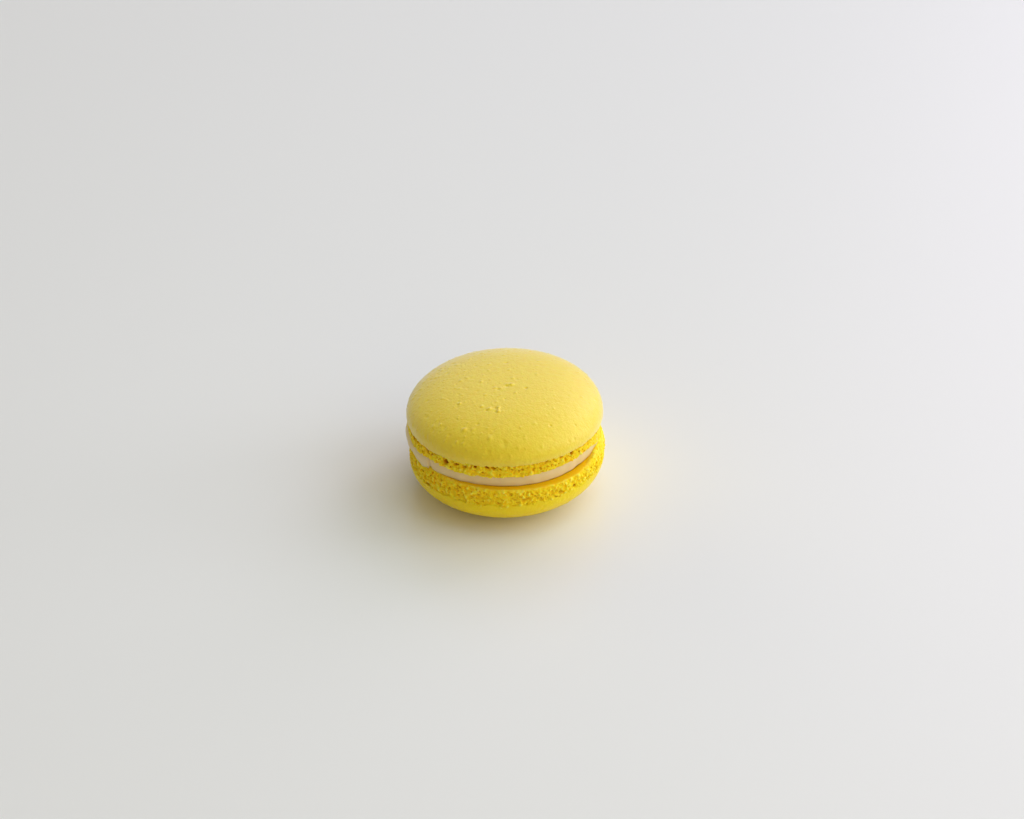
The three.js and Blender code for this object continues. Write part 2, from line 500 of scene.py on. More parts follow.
@dataclass
class DomeSkin:
    """The smooth crust of a shell, from the crown to the lip that curls in over the foot."""

    form: ShellForm
    rings: int = 140
    lip_radius: float = 0.15
    lip_rings: int = 7
    lip_waver: float = 0.16
    lip_waves: int = 24
    wave_counts: tuple[int, int] = (9, 100)  # how often a wave goes up and down on its way round
    wave_fall: float = 30.0  # the count at which a wave is half as high
    waver_reach: float = 0.2  # the share of the dome's height that the lip's waver reaches up to
    under_lip: tuple[float, float] = (2.2, 0.1)  # inwards and up, out of sight
    cap_inset: float = 3.4
    cap_depth: float = 1.2
    swell_height: float = 0.10
    swell_width: float = 9.0
    grain_height: float = 0.115
    grain_width: float = 1.1
    spot_crowd: float = 0.3  # spots to a square millimetre on the left
    spot_crowd_right: float = 0.06
    spot_thinning: tuple[float, float] = (-12.0, 6.0)  # from where to where, to the right, they get fewer
    spot_widths: tuple[float, float] = (0.25, 0.8)
    spot_rarity: float = 2.5  # above 1, the wide ones are rarer
    spot_height: float = 0.1
    pit_depth: float = 0.8  # as a share of a bubble's height
    pit_draws: tuple[float, float] = (0.30, 0.36)  # a pit up to the first, a bubble from the second
    second_draw: float = 7.31  # turns one draw into another
    pimples: tuple[Pimple, ...] = ()
    seed: int = 5

    def meridian(self, steps: int = 4000) -> tuple[Array, Array]:
        """The dome's cross-section at evenly spaced rings from the crown.

        Args:
            steps: How many points the curve is measured through.

        Returns:
            Each ring's radius, and its share of the dome's height.
        """
        turn = np.linspace(math.pi / 2, 0, steps)
        power = 2 / self.form.dome_exponent
        rise = self.form.height - self.form.foot_height
        r = self.form.radius * np.cos(turn) ** power
        z = rise * np.sin(turn) ** power
        length = np.concatenate([[0], np.cumsum(np.hypot(np.diff(r), np.diff(z)))])
        even = np.linspace(0, length[-1], self.rings + 1)
        return np.interp(even, length, r), np.interp(even, length, z) / rise

    def edge_waver(self, turn: Array) -> Array:
        """How far the skin's edge rises and dips along its way round, where the foot pushed it up.

        Args:
            turn: Each corner's turn in radians.

        Returns:
            The rise at each corner: a sum of waves, of which the long ones are the highest.
        """
        dice = np.random.default_rng(self.seed)
        waves = [(dice.integers(*self.wave_counts), dice.uniform(0, 2 * math.pi))
                 for _ in range(self.lip_waves)]
        fall = self.wave_fall
        return self.lip_waver * sum(np.sin(n * turn + phase) * (fall / (n + fall)) for n, phase in waves) / 2

    def build(self, name: str) -> Piece:
        """Makes the closed skin, before its grain.

        Args:
            name: The piece's name.

        Returns:
            The piece, with an attribute that is 1 where the crust shows.
        """
        form = self.form
        ring, turn, faces = hex_disc(self.rings)
        radii, heights = self.meridian()
        r, share = radii[ring], heights[ring]
        x, y = r * np.sin(turn), -r * np.cos(turn)
        foot = form.foot_at(form.azimuth(x, y))
        waver = self.edge_waver(turn) * np.clip(1 - share / self.waver_reach, 0, 1) ** 2
        z = np.minimum(form.height, foot + waver + share * (form.height + form.crown_flat - foot))
        for spot in self.pimples:
            away = np.hypot(x - spot.x, y - spot.y) / spot.width
            z = z + spot.rise * np.where(away < 1, (1 - away ** 2) ** 2, 0)
        points = [np.column_stack([x, y, z])]
        shown = [np.ones(len(ring))]
        # The lip: a half turn under the edge, and then in to a flat cap that nobody sees.
        count = 6 * self.rings
        last = np.arange(len(ring) - count, len(ring))
        following = np.roll(np.arange(count), -1)
        edge_turn, edge_z = turn[last], z[last]
        sections = [(-self.lip_radius * (1 - math.cos(a)), -self.lip_radius * math.sin(a))
                    for a in np.linspace(0, math.pi, self.lip_rings + 1)[1:]]
        sections += [(-self.under_lip[0], self.under_lip[1]), (-self.cap_inset, self.cap_depth)]
        start = len(ring)
        for row, (outwards, up) in enumerate(sections):
            rr = form.radius + outwards
            points.append(np.column_stack([rr * np.sin(edge_turn), -rr * np.cos(edge_turn), edge_z + up]))
            shown.append(np.full(count, 1.0 if row < self.lip_rings else 0.0))
            here = np.arange(start, start + count)
            faces += [(int(last[i]), int(here[i]), int(here[j]), int(last[j]))
                      for i, j in enumerate(following)]
            last, start = here, start + count
        points.append(np.array([[0, 0, form.foot_height + self.cap_depth]]))
        shown.append(np.zeros(1))
        faces += [(int(last[j]), int(last[i]), start) for i, j in enumerate(following)]
        piece = new_piece(name, np.concatenate(points), faces)
        attribute = piece.data.attributes.new("shown", "FLOAT", "POINT")
        attribute.data.foreach_set("value", np.concatenate(shown))
        return piece

    def spots(self, tree: GeometryTree, here: Node) -> Node:
        """Scattered bubbles and pits: seeded points on the crust, each with a width and height of its own.

        Args:
            tree: The skin's tree.
            here: The node that gives the place.

        Returns:
            The node that gives their rise.
        """
        add = tree.add
        seed = tree.input("Seed", self.seed)
        crowded = tree.input("Spots per Square Millimetre", self.spot_crowd)
        widest = tree.input("Spot Width", self.spot_widths[1])
        highest = tree.input("Spot Height", self.spot_height)
        side = add("ShaderNodeSeparateXYZ", {0: here})
        start, end = self.spot_thinning
        crowd = add(MAP_RANGE, {0: side, 1: start, 2: end, 3: crowded, 4: self.spot_crowd_right})
        scattered = add("GeometryNodeDistributePointsOnFaces",
                        {"Mesh": tree.entry.outputs["Geometry"], "Density": crowd, "Seed": seed})
        cloud = scattered.outputs["Points"]
        chance = add("FunctionNodeRandomValue", {2: 0.0, 3: 1.0, "Seed": seed}, data_type="FLOAT")
        nearest = add("GeometryNodeSampleNearest", {"Geometry": cloud}, domain="POINT")
        spot = add("GeometryNodeSampleIndex", {"Geometry": cloud, "Value": here, "Index": nearest},
                   data_type="FLOAT_VECTOR", domain="POINT")
        luck = add("GeometryNodeSampleIndex", {"Geometry": cloud, "Value": chance, "Index": nearest},
                   data_type="FLOAT", domain="POINT")
        apart = add(VECTOR_MATH, {0: here, 1: spot}, operation="DISTANCE")
        # Most spots are small.
        size = add(MATH, {0: luck, 1: self.spot_rarity}, operation="POWER")
        width = add(MAP_RANGE, {0: size, 1: 0.0, 2: 1.0, 3: self.spot_widths[0], 4: widest})
        share = add(MATH, {0: apart, 1: width}, operation="DIVIDE")
        mound = add(MAP_RANGE, {0: share, 1: 1.0, 2: 0.2, 3: 0.0, 4: 1.0}, interpolation_type="SMOOTHSTEP")
        # A second draw from the same luck: a third of them are pits.
        draw = add(MATH, {0: luck, 1: self.second_draw}, operation="MULTIPLY")
        draw = add(MATH, {0: draw}, operation="FRACT")
        pit, bubble = self.pit_draws
        sign = add(MAP_RANGE, {0: draw, 1: pit, 2: bubble, 3: -self.pit_depth, 4: 1.0})
        rise = add(MATH, {0: mound, 1: sign}, operation="MULTIPLY")
        return add(MATH, {0: rise, 1: highest}, operation="MULTIPLY")

    def grain_tree(self, name: str, material: Material) -> GeometryTree:
        """The tree that raises the skin's low swells, almond grain, bubbles and pits.

        Args:
            name: The tree's name.
            material: The skin's finish.

        Returns:
            The finished tree.
        """
        tree = GeometryTree(name)
        add = tree.add
        shown = add("GeometryNodeInputNamedAttribute", {"Name": "shown"}, data_type="FLOAT")
        here = add("GeometryNodeInputPosition")
        normal = add("GeometryNodeInputNormal")
        low = tree.uneven({"Vector": here, "Scale": 1 / self.swell_width, "Detail": 1.0},
                          tree.input("Swell Height", self.swell_height))
        fine = tree.uneven({"Vector": here, "Scale": 1 / self.grain_width, "Detail": 2.0, "Roughness": 0.55},
                           tree.input("Grain Height", self.grain_height))
        rise = add(MATH, {0: low, 1: fine}, operation="ADD")
        rise = add(MATH, {0: rise, 1: self.spots(tree, here)}, operation="ADD")
        rise = add(MATH, {0: rise, 1: shown}, operation="MULTIPLY")
        offset = add(VECTOR_MATH, {0: normal, "Scale": rise}, operation="SCALE")
        there = add(VECTOR_MATH, {0: here, 1: offset}, operation="ADD")
        if self.form.crown_flat:
            # The crown rests on the floor, which is where it was pressed flat.
            crown = tree.input("Crown Height", self.form.height)
            limit = add("ShaderNodeCombineXYZ", {0: 1000.0, 1: 1000.0, 2: crown})
            there = add(VECTOR_MATH, {0: there, 1: limit}, operation="MINIMUM")
        moved = add("GeometryNodeSetPosition",
                    {"Geometry": tree.entry.outputs["Geometry"], "Position": there})
        tree.finish(moved, material)
        return tree


# ---------------------------------------------------------------------------------------------------
# The porous foot


@dataclass(frozen=True)
class Bubbles:
    """One size of bubble in the crumb: how far apart they form, and their radii as shares of that."""

    spacing: float
    smallest: float
    widest: float
    squash: float = 1.25
    rarity: float = 1.3  # above 1, the wide ones are rarer
    disorder: float = 0.9  # 0 would lay them out in rows


@dataclass(frozen=True)
class Lumps:
    """One size of lump on the crumb: how far apart they are, and how deep the creases round them."""

    spacing: float
    depth: float
    level: float = 0.3  # the share of the spacing, from a lump's middle, at which it meets the wall


@dataclass(frozen=True)
class Cavity:
    """A big bubble that burst near the rim, in millimetres: half its length along the rim, half its
    height, how far its middle lies under the skin's edge, and how deep it goes."""

    azimuth: float
    half_length: float
    half_height: float
    drop: float
    depth: float = 1.1


@dataclass(frozen=True)
class Wall:
    """Nodes that describe a foot's wall at each place, before any bubble bursts in it."""

    distance: Node  # to the wall, below 0 inside it
    rim: Node  # 0 on the smooth ledge, and up to 1 at the rough rim
    openness: Node  # how far bubbles and lumps reach their full size


@dataclass
class PorousFoot:
    """The frilled, bubbly ring of crumb under a skin, made from a grid of densities."""

    form: ShellForm
    bubbles: tuple[Bubbles, ...]
    lumps: tuple[Lumps, ...] = (Lumps(1.2, 0.62), Lumps(0.65, 0.3))
    cavities: tuple[Cavity, ...] = ()
    setback: float = 0.2  # from the skin's edge, negative where the foot stands proud
    setback_slant: float = 0.0  # how much more that is on the right, and less on the left
    inner_radius: float = 20.9
    ledge_radius: float = 22.4
    ledge_waver: float = 1.2
    ledge_waver_width: float = 2.0
    ledge_slant: float = 0.7
    ledge_retreat: float = 2.0  # for each millimetre that the frill hangs down
    rim_thickness: float = 0.2
    corner: float = 0.9
    top_overlap: float = 0.5  # up behind the skin
    ruffle_width: float = 2.4
    ruffle_depth: float = 1.0
    ruffle_level: float = 0.52  # the noise's value where the wall keeps its place
    frill_share: float = 0.6  # of the foot's height, under which the frill stretches it down
    frill_tuck: float = 0.2  # inwards, for each millimetre that the frill hangs down
    frill_openness: float = 0.5
    flow_width: float = 1.3
    flow_reach: float = 0.9
    open_depth: float = 1.2  # how far in the bubbles are open
    full_share: float = 0.55  # of that depth, in which they keep their full size
    edge_softness: float = 0.14  # of the edges where bubbles cut the wall
    voxel: float = 0.18
    room_round: float = 1.0  # in the grid, past the skin's edge
    room_below: float = 2.4  # past the underside, for the frill
    room_above: float = 1.2  # past the overlap
    scrap_limit: float = 20000.0  # corners, under which an island of the mesh is a scrap
    noise_stride: float = 37.7  # from one seed's stretch of the noise to the next
    seed: int = 1

    def bar(self, tree: GeometryTree, level: Node, tall: Node, rho: Socket, outer: Node) -> Node:
        """The distance to a bar with rounded corners, which runs round the shell.

        Args:
            tree: The foot's tree.
            level: The node that gives the height in the bar.
            tall: The node that gives the foot's height.
            rho: The socket that gives the distance from the shell's axis.
            outer: The node that gives the bar's outer radius.

        Returns:
            The node that gives the distance.
        """
        add = tree.add
        inner = tree.input("Inner Radius", self.inner_radius)
        corner = tree.input("Corner Radius", self.corner)
        top = add(MATH, {0: tall, 1: self.top_overlap}, operation="ADD")
        half_high = add(MATH, {0: top, 1: 0.5}, operation="MULTIPLY")
        middle = add(MATH, {0: outer, 1: inner}, operation="ADD")
        middle = add(MATH, {0: middle, 1: 0.5}, operation="MULTIPLY")
        half_wide = add(MATH, {0: outer, 1: middle}, operation="SUBTRACT")
        past = []
        for along, centre, half in ((level, half_high, half_high), (rho, middle, half_wide)):
            away = add(MATH, {0: along, 1: centre}, operation="SUBTRACT")
            away = add(MATH, {0: away}, operation="ABSOLUTE")
            away = add(MATH, {0: away, 1: half}, operation="SUBTRACT")
            past.append(add(MATH, {0: away, 1: corner}, operation="ADD"))
        near = add(MATH, {0: past[0], 1: past[1]}, operation="MAXIMUM")
        near = add(MATH, {0: near, 1: 0.0}, operation="MINIMUM")
        up, out = [add(MATH, {0: away, 1: 0.0}, operation="MAXIMUM") for away in past]
        far = add("ShaderNodeCombineXYZ", {0: up, 1: out})
        far = add(VECTOR_MATH, {0: far}, operation="LENGTH").outputs["Value"]
        distance = add(MATH, {0: near, 1: far}, operation="ADD")
        return add(MATH, {0: distance, 1: corner}, operation="SUBTRACT")

    def wall(self, tree: GeometryTree, position: Node, sample: Node) -> Wall:
        """The foot's wall, with its ledge, frill and ruffles.

        Args:
            tree: The foot's tree.
            position: The node that gives the place.
            sample: The node that gives the place in this foot's own stretch of noise.

        Returns:
            The nodes that describe it.
        """
        form, add = self.form, tree.add
        x, y, z = add("ShaderNodeSeparateXYZ", {0: position}).outputs
        flat = add("ShaderNodeCombineXYZ", {0: x, 1: y})
        rho = add(VECTOR_MATH, {0: flat}, operation="LENGTH").outputs["Value"]
        front = add(MATH, {0: y, 1: -float(form.lie.value)}, operation="MULTIPLY")
        turn = add(MATH, {0: x, 1: front}, operation="ARCTAN2")
        azimuth = add(MATH, {0: turn}, operation="DEGREES")
        sine = add(MATH, {0: turn}, operation="SINE")
        outer = tree.input("Outer Radius", form.radius - self.setback)
        outer = add(MATH, {0: sine, 1: -self.setback_slant, 2: outer}, operation="MULTIPLY_ADD")
        tall = add(MATH, {0: sine, 1: -form.lean, 2: form.foot_height}, operation="MULTIPLY_ADD")
        for rise in form.rises:
            tall = rise.add_to(tree, tall, azimuth)
        hang = 0.0
        for frill in form.frills:
            hang = frill.add_to(tree, hang, azimuth)
        hang = add(MATH, {0: hang, 1: form.frill_limit}, operation="MINIMUM")
        # The smooth ledge, which lay on the baking mat, gives way to the rough rim along an uneven line.
        waver = tree.uneven({"Vector": sample, "Scale": 1 / self.ledge_waver_width, "Detail": 3.0},
                            tree.input("Ledge Waver", self.ledge_waver))
        ledge = tree.input("Ledge Radius", self.ledge_radius)
        ledge = add(MATH, {0: ledge, 1: waver}, operation="ADD")
        ledge = add(MATH, {0: sine, 1: self.ledge_slant, 2: ledge}, operation="MULTIPLY_ADD")
        ledge = add(MATH, {0: hang, 1: -self.ledge_retreat, 2: ledge}, operation="MULTIPLY_ADD")
        # The frill hangs down at the rim only, and a little inwards, where the two feet reach for each other.
        above = add(MATH, {0: z, 1: tall}, operation="DIVIDE")
        low = add(MAP_RANGE, {0: above, 1: self.frill_share, 2: 0.0, 3: 0.0, 4: 1.0})
        tuck = add(MATH, {0: hang, 1: low}, operation="MULTIPLY")
        outer = add(MATH, {0: tuck, 1: -self.frill_tuck, 2: outer}, operation="MULTIPLY_ADD")
        crest = add(MATH, {0: outer, 1: self.rim_thickness}, operation="SUBTRACT")
        rim = add(MAP_RANGE, {0: rho, 1: ledge, 2: crest}, interpolation_type="SMOOTHSTEP")
        drop = add(MATH, {0: hang, 1: rim}, operation="MULTIPLY")
        sink = add(MATH, {0: drop, 1: low}, operation="MULTIPLY")
        level = add(MATH, {0: z, 1: sink}, operation="ADD")
        bar = self.bar(tree, level, tall, rho, outer)
        # The crumb is denser where it hangs, so that no bubble or ruffle goes right through.
        open_share = add(MAP_RANGE, {0: tuck, 1: 0.0, 2: 1.0, 3: 1.0, 4: self.frill_openness})
        openness = add(MATH, {0: open_share, 1: rim}, operation="MULTIPLY")
        # Ruffles: the crumb swells and shrinks along the rim.
        scale = add(MATH, {0: 1.0, 1: tree.input("Ruffle Width", self.ruffle_width)}, operation="DIVIDE")
        noise = {"Vector": sample, "Scale": scale, "Detail": 3.0, "Roughness": 0.62, "Distortion": 0.5}
        ruffle = tree.uneven(noise, tree.input("Ruffle Depth", self.ruffle_depth), self.ruffle_level)
        ruffle = add(MATH, {0: ruffle, 1: openness}, operation="MULTIPLY")
        distance = add(MATH, {0: bar, 1: ruffle}, operation="SUBTRACT")
        return Wall(distance, rim, openness)

    def lumpy(self, tree: GeometryTree, wall: Wall, flowed: Node) -> Node:
        """The wall with its lumps: rounded, with a crease where two meet.

        Args:
            tree: The foot's tree.
            wall: The wall that gets them.
            flowed: The node that gives the place in the noise, as the batter flowed.

        Returns:
            The node that gives the distance to the lumpy wall.
        """
        solid = wall.distance
        for number, size in enumerate(self.lumps):
            spacing = tree.input(f"Lump Spacing {number + 1}", size.spacing)
            depth = tree.input(f"Lump Depth {number + 1}", size.depth)
            scale = tree.add(MATH, {0: 1.0, 1: spacing}, operation="DIVIDE")
            cells = tree.add("ShaderNodeTexVoronoi", {"Vector": flowed, "Scale": scale}).outputs["Distance"]
            swell = tree.add(MATH, {0: cells, 1: size.level}, operation="SUBTRACT")
            swell = tree.add(MATH, {0: swell, 1: depth}, operation="MULTIPLY")
            swell = tree.add(MATH, {0: swell, 1: wall.openness}, operation="MULTIPLY")
            solid = tree.add(MATH, {0: solid, 1: swell}, operation="ADD")
        return solid

    def hollow(self, tree: GeometryTree, position: Node, cavity: Cavity) -> Node:
        """The distance to one cavity's wall, above 0 inside it.

        Args:
            tree: The foot's tree.
            position: The node that gives the place.
            cavity: The cavity.

        Returns:
            The node that gives the distance.
        """
        a = math.radians(cavity.azimuth)
        foot = float(self.form.foot_at(np.array([cavity.azimuth]))[0])
        side = self.form.lie.value
        reach = self.form.radius - self.setback
        middle = (reach * math.sin(a), -side * reach * math.cos(a), foot - cavity.drop)
        away = tree.add(VECTOR_MATH, {0: position, 1: middle}, operation="SUBTRACT")
        turned = tree.add("ShaderNodeVectorRotate", {"Vector": away, "Angle": -side * a},
                          rotation_type="Z_AXIS")
        sizes = (cavity.half_length, cavity.depth, cavity.half_height)
        scaled = tree.add(VECTOR_MATH, {0: turned, 1: sizes}, operation="DIVIDE")
        length = tree.add(VECTOR_MATH, {0: scaled}, operation="LENGTH").outputs["Value"]
        return tree.add(MATH, {0: length, 1: -cavity.half_height, 2: cavity.half_height},
                        operation="MULTIPLY_ADD")

    def hole(self, tree: GeometryTree, number: int, flowed: Node, burst: Node) -> Node:
        """The distance to the walls of one size of bubble, above 0 inside them.

        Args:
            tree: The foot's tree.
            number: Which size of bubble, from 0.
            flowed: The node that gives the place in the noise, as the batter flowed.
            burst: The node that gives how far the bubbles reach their full size.

        Returns:
            The node that gives the distance.
        """
        size, add = self.bubbles[number], tree.add
        spacing = tree.input(f"Bubble Spacing {number + 1}", size.spacing)
        widest = tree.input(f"Widest Bubble {number + 1}", size.widest)
        scale = add(MATH, {0: 1.0, 1: spacing}, operation="DIVIDE")
        squashed = add(VECTOR_MATH, {0: flowed, 1: (1.0, 1.0, size.squash)}, operation="MULTIPLY")
        cells = add("ShaderNodeTexVoronoi",
                    {"Vector": squashed, "Scale": scale, "Randomness": size.disorder})
        chance = add("FunctionNodeSeparateColor", {0: cells.outputs["Color"]})
        rare = add(MATH, {0: chance.outputs[0], 1: size.rarity}, operation="POWER")
        wide = add(MAP_RANGE, {0: rare, 3: size.smallest, 4: widest})
        wide = add(MATH, {0: wide, 1: burst}, operation="MULTIPLY")
        hole = add(MATH, {0: wide, 1: cells.outputs["Distance"]}, operation="SUBTRACT")
        return add(MATH, {0: hole, 1: spacing}, operation="MULTIPLY")

    def tree(self, name: str, material: Material) -> GeometryTree:
        """The tree that makes the foot.

        Args:
            name: The tree's name.
            material: The crumb's finish.

        Returns:
            The finished tree.
        """
        tree = GeometryTree(name)
        add = tree.add
        seed = tree.input("Seed", self.seed)
        open_depth = tree.input("Depth of Open Bubbles", self.open_depth)
        position = add("GeometryNodeInputPosition")
        # Each foot reads its own stretch of the noise, far from the other's.
        shift = add("ShaderNodeCombineXYZ", {0: seed, 1: seed, 2: seed})
        shift = add(VECTOR_MATH, {0: shift, "Scale": self.noise_stride}, operation="SCALE")
        sample = add(VECTOR_MATH, {0: position, 1: shift}, operation="ADD")
        wall = self.wall(tree, position, sample)
        # Bubbles are open at the rim only: they shrink to nothing deeper in, and towards the ledge.
        inside = add(MATH, {0: wall.distance, 1: -1.0}, operation="MULTIPLY")
        burst = add(MATH, {0: inside, 1: open_depth}, operation="DIVIDE")
        burst = add(MAP_RANGE, {0: burst, 1: 1.0, 2: self.full_share}, interpolation_type="SMOOTHSTEP")
        burst = add(MATH, {0: burst, 1: wall.openness}, operation="MULTIPLY")
        # The batter flowed as it rose, so lumps and bubbles are pulled out of round.
        flow = add(NOISE, {"Vector": sample, "Scale": 1 / self.flow_width, "Detail": 2.0}).outputs["Color"]
        flow = add(VECTOR_MATH, {0: flow, 1: (0.5, 0.5, 0.5)}, operation="SUBTRACT")
        flow = add(VECTOR_MATH, {0: flow, "Scale": self.flow_reach}, operation="SCALE")
        flowed = add(VECTOR_MATH, {0: sample, 1: flow}, operation="ADD")
        bent = add(VECTOR_MATH, {0: position, 1: flow}, operation="ADD")
        solid = self.lumpy(tree, wall, flowed)
        openings = [self.hollow(tree, bent, cavity) for cavity in self.cavities]
        openings += [self.hole(tree, number, flowed, burst) for number in range(len(self.bubbles))]
        for opening in openings:
            solid = add(MATH, {0: solid, 1: opening, 2: self.edge_softness}, operation="SMOOTH_MAX")
        whole = self.meshed(tree, solid)
        # The crumb's finish paints its shade in the pores and on the ledge, and its highlight on the lumps'
        # tips, from these.
        for mark, value in (("pore_depth", inside), ("rim", wall.rim)):
            whole = add("GeometryNodeStoreNamedAttribute", {"Geometry": whole, "Name": mark, "Value": value},
                        data_type="FLOAT", domain="POINT")
        tree.finish(whole, material)
        return tree

    def meshed(self, tree: GeometryTree, solid: Node) -> Node:
        """Turns a distance into a mesh.

        Args:
            tree: The foot's tree.
            solid: The node that gives the distance to the surface, below 0 inside.

        Returns:
            The node that gives the one large island: no sealed bubble and no loose crumb.
        """
        add = tree.add
        # Density falls from 1 to 0 across four voxels round the surface.
        density = add(MAP_RANGE, {0: solid, 1: 2 * self.voxel, 2: -2 * self.voxel})
        reach = self.form.radius + self.room_round
        low, high = -self.room_below, self.form.foot_height + self.top_overlap + self.room_above
        across, up = round(2 * reach / self.voxel), round((high - low) / self.voxel)
        volume = add("GeometryNodeVolumeCube",
                     {"Density": density, "Min": (-reach, -reach, low), "Max": (reach, reach, high),
                      "Resolution X": across, "Resolution Y": across, "Resolution Z": up})
        mesh = add("GeometryNodeVolumeToMesh", {"Volume": volume, "Threshold": 0.5, "Adaptivity": 0.02})
        island = add("GeometryNodeInputMeshIsland").outputs["Island Index"]
        corners = add("GeometryNodeAccumulateField", {0: 1.0, "Group ID": island}).outputs["Total"]
        scrap = add("FunctionNodeCompare", {0: corners, 1: self.scrap_limit}, operation="LESS_THAN")
        return add("GeometryNodeDeleteGeometry", {"Geometry": mesh, "Selection": scrap})

    def build(self, name: str, material: Material) -> Piece:
        """Makes the foot as a plain mesh.

        Args:
            name: The piece's name.
            material: The crumb's finish.

        Returns:
            The piece, in the shell's own frame.
        """
        piece = new_piece(name, np.zeros((0, 3)), [])
        self.tree(name, material).apply(piece)
        return piece


# ---------------------------------------------------------------------------------------------------
# Sub-assemblies


@dataclass
class Shell:
    """A baked shell: its skin and its foot."""

    name: str
    form: ShellForm
    skin: DomeSkin
    foot: PorousFoot
    skin_finish: BakedMeringue
    foot_finish: BakedMeringue

    def build(self) -> list[Piece]:
        """Makes both pieces and lays them in the macaron.

        Returns:
            The skin and the foot.
        """
        skin = self.skin.build(f"{self.name}_skin")
        self.skin.grain_tree(f"{self.name}_skin_grain", self.skin_finish.material()).apply(skin)
        foot = self.foot.build(f"{self.name}_foot", self.foot_finish.material())
        return [hand_over(piece, self.form.place, f"{self.name}_shell") for piece in (skin, foot)]


@dataclass
class Filling:
    """The disc of buttercream: pressed out into a drooping roll on the left, which ends in a fold."""

    bottom: float
    height: float
    tilt: float  # of its top, up to the right
    tilt_about: float
    radius: float = 23.4
    offset: tuple[float, float] = (-1.05, 1.3)
    bulge_top: float = 0.3
    bulge_bottom: float = 0.12
    roll: Swelling = Swelling(-70, 32, 0.5)
    roll_end: tuple[float, float] = (-170.0, 30.0)  # the azimuth of its other end, and how far it runs out
    roll_top: float = 0.7
    roll_bottom: float = 0.4
    fold: float = -49.8
    fold_width: float = 1.2
    fold_slant: float = 1.3
    fold_roundness: float = 0.4
    crease: Swelling = Swelling(-49.3, 1.8, -0.5)
    droop: Swelling = Swelling(-55, 16, 1.1)
    short_side: Swelling = Swelling(100, 65, 0.8)
    right_end: Swelling = Swelling(74, 24, 1.1)
    front_dip: Swelling = Swelling(-6, 42, -0.42)
    wobble: float = 0.12
    ripple_height: float = 0.05
    ripple_waves: int = 14
    wave_counts: tuple[int, int] = (9, 42)  # how often a wave goes up and down on its way round
    wave_skew: float = 4.0  # how far, in radians, one may shift from the bottom to the top
    edge_inset: float = 2.4
    cap_inset: float = 12.0
    segments: int = 1440
    side_rings: int = 26
    seed: int = 4

    def rolled(self, azimuth: Array) -> Array:
        """How far the roll is formed.

        Args:
            azimuth: The azimuths.

        Returns:
            0 to the right of the fold, and round to 1 on its left.
        """
        started = np.clip((self.fold - azimuth) / self.fold_width, 0, 1) ** self.fold_roundness
        end, run_out = self.roll_end
        return started * np.clip((azimuth - end) / run_out, 0, 1)

    def radius_at(self, azimuth: Array) -> Array:
        """The disc's radius.

        Args:
            azimuth: The azimuths.

        Returns:
            The radius at each.
        """
        wave = self.wobble * np.sin(3 * np.radians(azimuth) + 1)
        spread = self.rolled(azimuth) * self.roll.at(azimuth) - self.short_side.at(azimuth)
        spread = spread + self.right_end.at(azimuth) + self.front_dip.at(azimuth)
        return self.radius + spread + self.crease.at(azimuth) + wave

    def rows(self) -> list[tuple[float, float, float]]:
        """The rings of corners, from the middle of the underside to the middle of the top.

        Returns:
            How far in each is, its height as a share, and how far the roll's droop pulls it down.
        """
        rows = [(self.cap_inset, 0.0, 0.0), (self.edge_inset, 0.0, 0.0), (self.edge_inset / 2, 0.0, 0.1)]
        for i in range(self.side_rings + 1):
            rows.append((0.0, i / self.side_rings, (1 - i / self.side_rings) ** 2))
        return rows + [(self.edge_inset, 1.0, 0.0), (self.cap_inset, 1.0, 0.0)]

    def ring(self, azimuth: Array, ripple: Array, inwards: float, up: float, pulled: float) -> Array:
        """One ring of corners.

        Args:
            azimuth: Each corner's azimuth.
            ripple: A small unevenness at each corner.
            inwards: How far in from the side the ring is.
            up: Its height, as a share.
            pulled: How far the roll's droop pulls it down, as a share.

        Returns:
            One row for each corner.
        """
        # The fold slants: lower down it reaches further to the right.
        about = azimuth + self.fold_slant * (up - 0.5)
        roll = self.rolled(about) * self.roll.at(about) / self.roll.amount
        droop = self.rolled(about) * self.droop.at(about)
        upper_half = up > 0.5
        flat = self.bulge_top if upper_half else self.bulge_bottom
        full = self.roll_top if upper_half else self.roll_bottom
        bulge = flat + (full - flat) * roll
        r = self.radius_at(about) - inwards + self.ripple_height * ripple / 3 - bulge * (2 * up - 1) ** 2
        x = r * np.sin(np.radians(azimuth)) + self.offset[0]
        y = -r * np.cos(np.radians(azimuth)) + self.offset[1]
        top = self.height + (x - self.tilt_about) * math.tan(math.radians(self.tilt))
        return np.column_stack([x, y, self.bottom + up * top - pulled * droop])

    def build(self) -> list[Piece]:
        """Makes the disc as a closed mesh.

        Returns:
            The one piece.
        """
        count = self.segments
        azimuth = np.arange(count) * 360 / count
        azimuth = np.where(azimuth > 180, azimuth - 360, azimuth)
        dice = np.random.default_rng(self.seed)
        waves = [(dice.uniform(0, 2 * math.pi), dice.integers(*self.wave_counts),
                  dice.uniform(-self.wave_skew, self.wave_skew)) for _ in range(self.ripple_waves)]
        points = []
        rows = self.rows()
        for inwards, up, pulled in rows:
            ripple = sum(np.sin(n * np.radians(azimuth) + phase + up * skew) for phase, n, skew in waves)
            points.append(self.ring(azimuth, ripple, inwards, up, pulled))
        faces = []
        for below in range(0, (len(rows) - 1) * count, count):
            above = below + count
            for i in range(count):
                j = (i + 1) % count
                faces.append((below + i, below + j, above + j, above + i))
        faces.append(tuple(reversed(range(count))))
        faces.append(tuple(range((len(rows) - 1) * count, len(rows) * count)))
        piece = new_piece("buttercream", np.concatenate(points), faces)
        piece.data.materials.append(Buttercream().material())
        piece.data.shade_smooth()
        return [hand_over(piece, Matrix.Identity(4), "filling")]


# ---------------------------------------------------------------------------------------------------
# Studio


